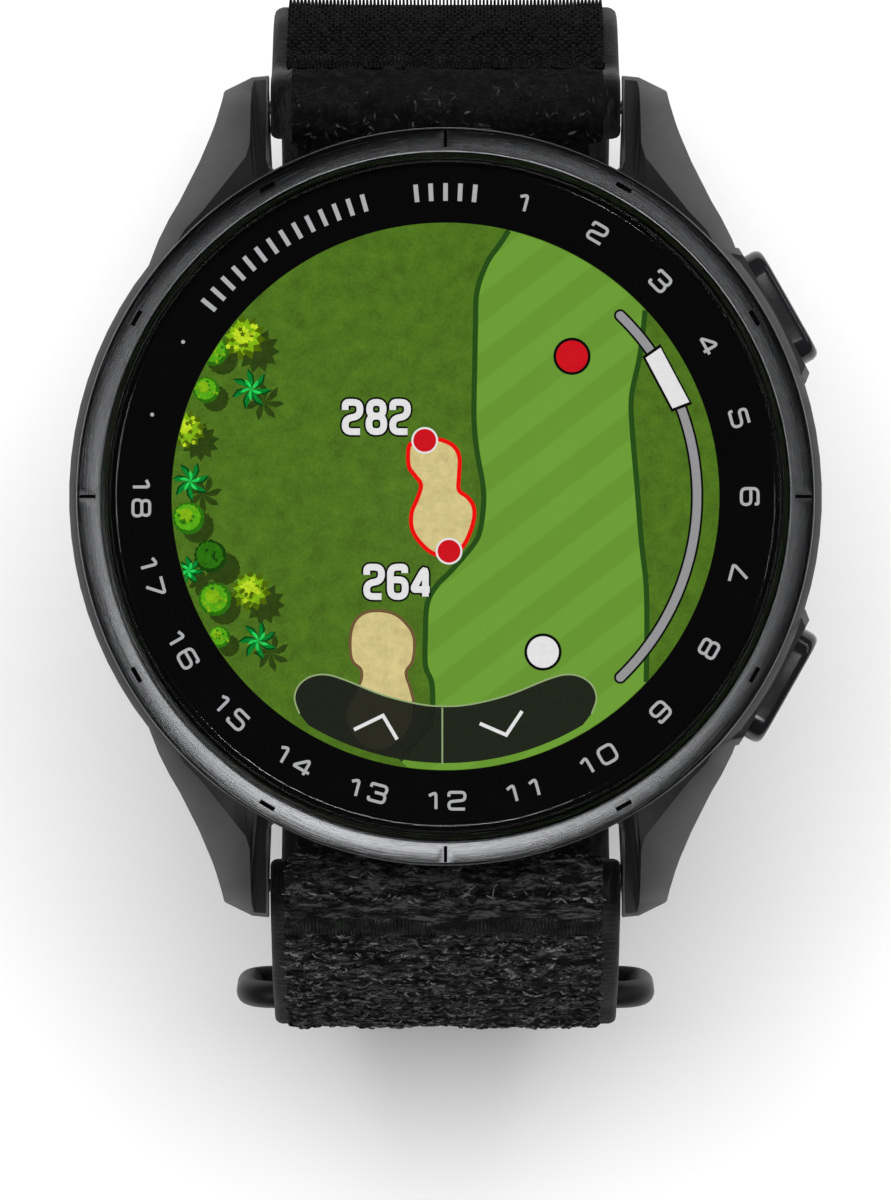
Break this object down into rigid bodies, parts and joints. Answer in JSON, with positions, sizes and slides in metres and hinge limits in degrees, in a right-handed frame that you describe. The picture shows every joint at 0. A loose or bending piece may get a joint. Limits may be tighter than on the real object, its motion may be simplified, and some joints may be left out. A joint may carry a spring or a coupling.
{
  "type": "golf gps watch",
  "caption": "Round golf watch with a lit course-map display, hour-style numbered ring, two side buttons and a closed hook-and-loop fabric band on quick-release spring bars.",
  "frame": {"origin": "centre of the flat back face of the case (the sensor window)", "axes": "+Z out of the display, +Y to 12 o'clock, +X to 3 o'clock and the two buttons"},
  "size_m": [0.043, 0.0605, 0.0558],
  "materials": {
    "case_polymer": "fine-grained dark grey fibre-reinforced polymer",
    "bezel_metal": "dark gunmetal anodising, brushed around the ring, thin bright edges",
    "lens_glass": "clear toughened glass with a polished edge",
    "display": "lit colour display under glass",
    "black_polymer": "black moulded polymer",
    "seal_rubber": "black moulded rubber",
    "circuit_board": "green solder-masked board",
    "flex_circuit": "amber polyimide flexible circuit",
    "steel": "satin stainless steel",
    "gold_contacts": "gold-plated contacts",
    "battery_wrap": "silver-grey pouch cell wrap",
    "led_lens": "clear green light-emitting diode",
    "button_gloss": "glossy black",
    "band_cloth": "black and grey melange nylon pile with woven selvages",
    "hook_tape": "black moulded hook tape",
    "ring_metal": "satin dark grey coating"
  },
  "bodies": {
    "case": {"mid_case": "case_polymer", "bezel_ring": "bezel_metal", "lens_seal": "seal_rubber", "cover_lens": "lens_glass", "display_panel": "display", "display_flex": "flex_circuit", "chassis": "black_polymer", "main_board": "circuit_board", "shield_can": "steel", "gnss_antenna": "black_polymer", "battery": "battery_wrap", "motor_can": "steel", "key_flex": "flex_circuit", "tact_switch_upper": "black_polymer", "tact_switch_lower": "black_polymer", "rear_cover": "black_polymer", "rear_seal": "seal_rubber", "sensor_window": "lens_glass", "sensor_board": "circuit_board", "led_1": "led_lens", "led_2": "led_lens", "led_3": "led_lens", "photodiode_1": "black_polymer", "photodiode_2": "black_polymer", "contact_pin_1": "gold_contacts", "contact_pin_2": "gold_contacts", "contact_pin_3": "gold_contacts", "contact_pin_4": "gold_contacts", "cover_screw_1": "steel", "cover_screw_2": "steel", "cover_screw_3": "steel", "cover_screw_4": "steel", "upper_button_seal": "seal_rubber", "lower_button_seal": "seal_rubber"},
    "upper_button": {"upper_button_cap": "button_gloss", "upper_button_stem": "steel", "upper_button_clip": "steel", "upper_button_spring": "steel"},
    "lower_button": {"lower_button_cap": "button_gloss", "lower_button_stem": "steel", "lower_button_clip": "steel", "lower_button_spring": "steel"},
    "upper_strap": {"upper_strap": "band_cloth", "band_wrap": "band_cloth", "upper_bar_tube": "steel", "upper_bar_fixed_tip": "steel", "upper_bar_spring": "steel"},
    "upper_release": {"upper_bar_release_tip": "steel", "upper_bar_lever": "steel"},
    "lower_strap": {"lower_strap": "band_cloth", "lower_bar_tube": "steel", "lower_bar_fixed_tip": "steel", "lower_bar_spring": "steel"},
    "lower_release": {"lower_bar_release_tip": "steel", "lower_bar_lever": "steel"},
    "strap_ring": {"strap_ring": "ring_metal"},
    "band_tail": {"band_tail": "band_cloth", "hook_patch": "hook_tape"},
    "motor_rotor": {"motor_rotor": "steel"}
  },
  "joints": [
    {"name": "upper_button_press", "type": "slide", "parent": "case", "child": "upper_button", "axis": [-0.8704, -0.4924, 0], "range_m": [0, 0.0005], "stiffness_N_per_m": 1500, "springref_m": -0.0003},
    {"name": "lower_button_press", "type": "slide", "parent": "case", "child": "lower_button", "axis": [-0.8704, 0.4924, 0], "range_m": [0, 0.0005], "stiffness_N_per_m": 1500, "springref_m": -0.0003},
    {"name": "lower_strap_swing", "type": "hinge", "parent": "case", "child": "lower_strap", "pos_m": [0, -0.0224, 0.0028], "axis": [1, 0, 0], "range_deg": [-4, 4]},
    {"name": "ring_swing", "type": "hinge", "parent": "lower_strap", "child": "strap_ring", "pos_m": [0, -0.0295, -0.013], "axis": [1, 0, 0], "range_deg": [-13, 13]},
    {"name": "upper_strap_swing", "type": "hinge", "parent": "case", "child": "upper_strap", "pos_m": [0, 0.0224, 0.0028], "axis": [1, 0, 0], "range_deg": [-0.8, 0.8]},
    {"name": "tail_peel", "type": "hinge", "parent": "upper_strap", "child": "band_tail", "pos_m": [0, 0.02098, -0.03914], "axis": [-1, 0, 0], "range_deg": [0, 60]},
    {"name": "upper_bar_release", "type": "slide", "parent": "upper_strap", "child": "upper_release", "axis": [1, 0, 0], "range_m": [0, 0.0013], "stiffness_N_per_m": 300, "springref_m": -0.0006},
    {"name": "lower_bar_release", "type": "slide", "parent": "lower_strap", "child": "lower_release", "axis": [1, 0, 0], "range_m": [0, 0.0013], "stiffness_N_per_m": 300, "springref_m": -0.0006},
    {"name": "motor_spin", "type": "hinge", "parent": "case", "child": "motor_rotor", "pos_m": [0, 0.013, 0.0044], "axis": [1, 0, 0], "continuous": true}
  ],
  "couplings": [
    {"joint": "ring_swing", "follows": "lower_strap_swing", "ratio": -3.0497},
    {"joint": "upper_strap_swing", "follows": "lower_strap_swing", "ratio": 0.1637}
  ]
}
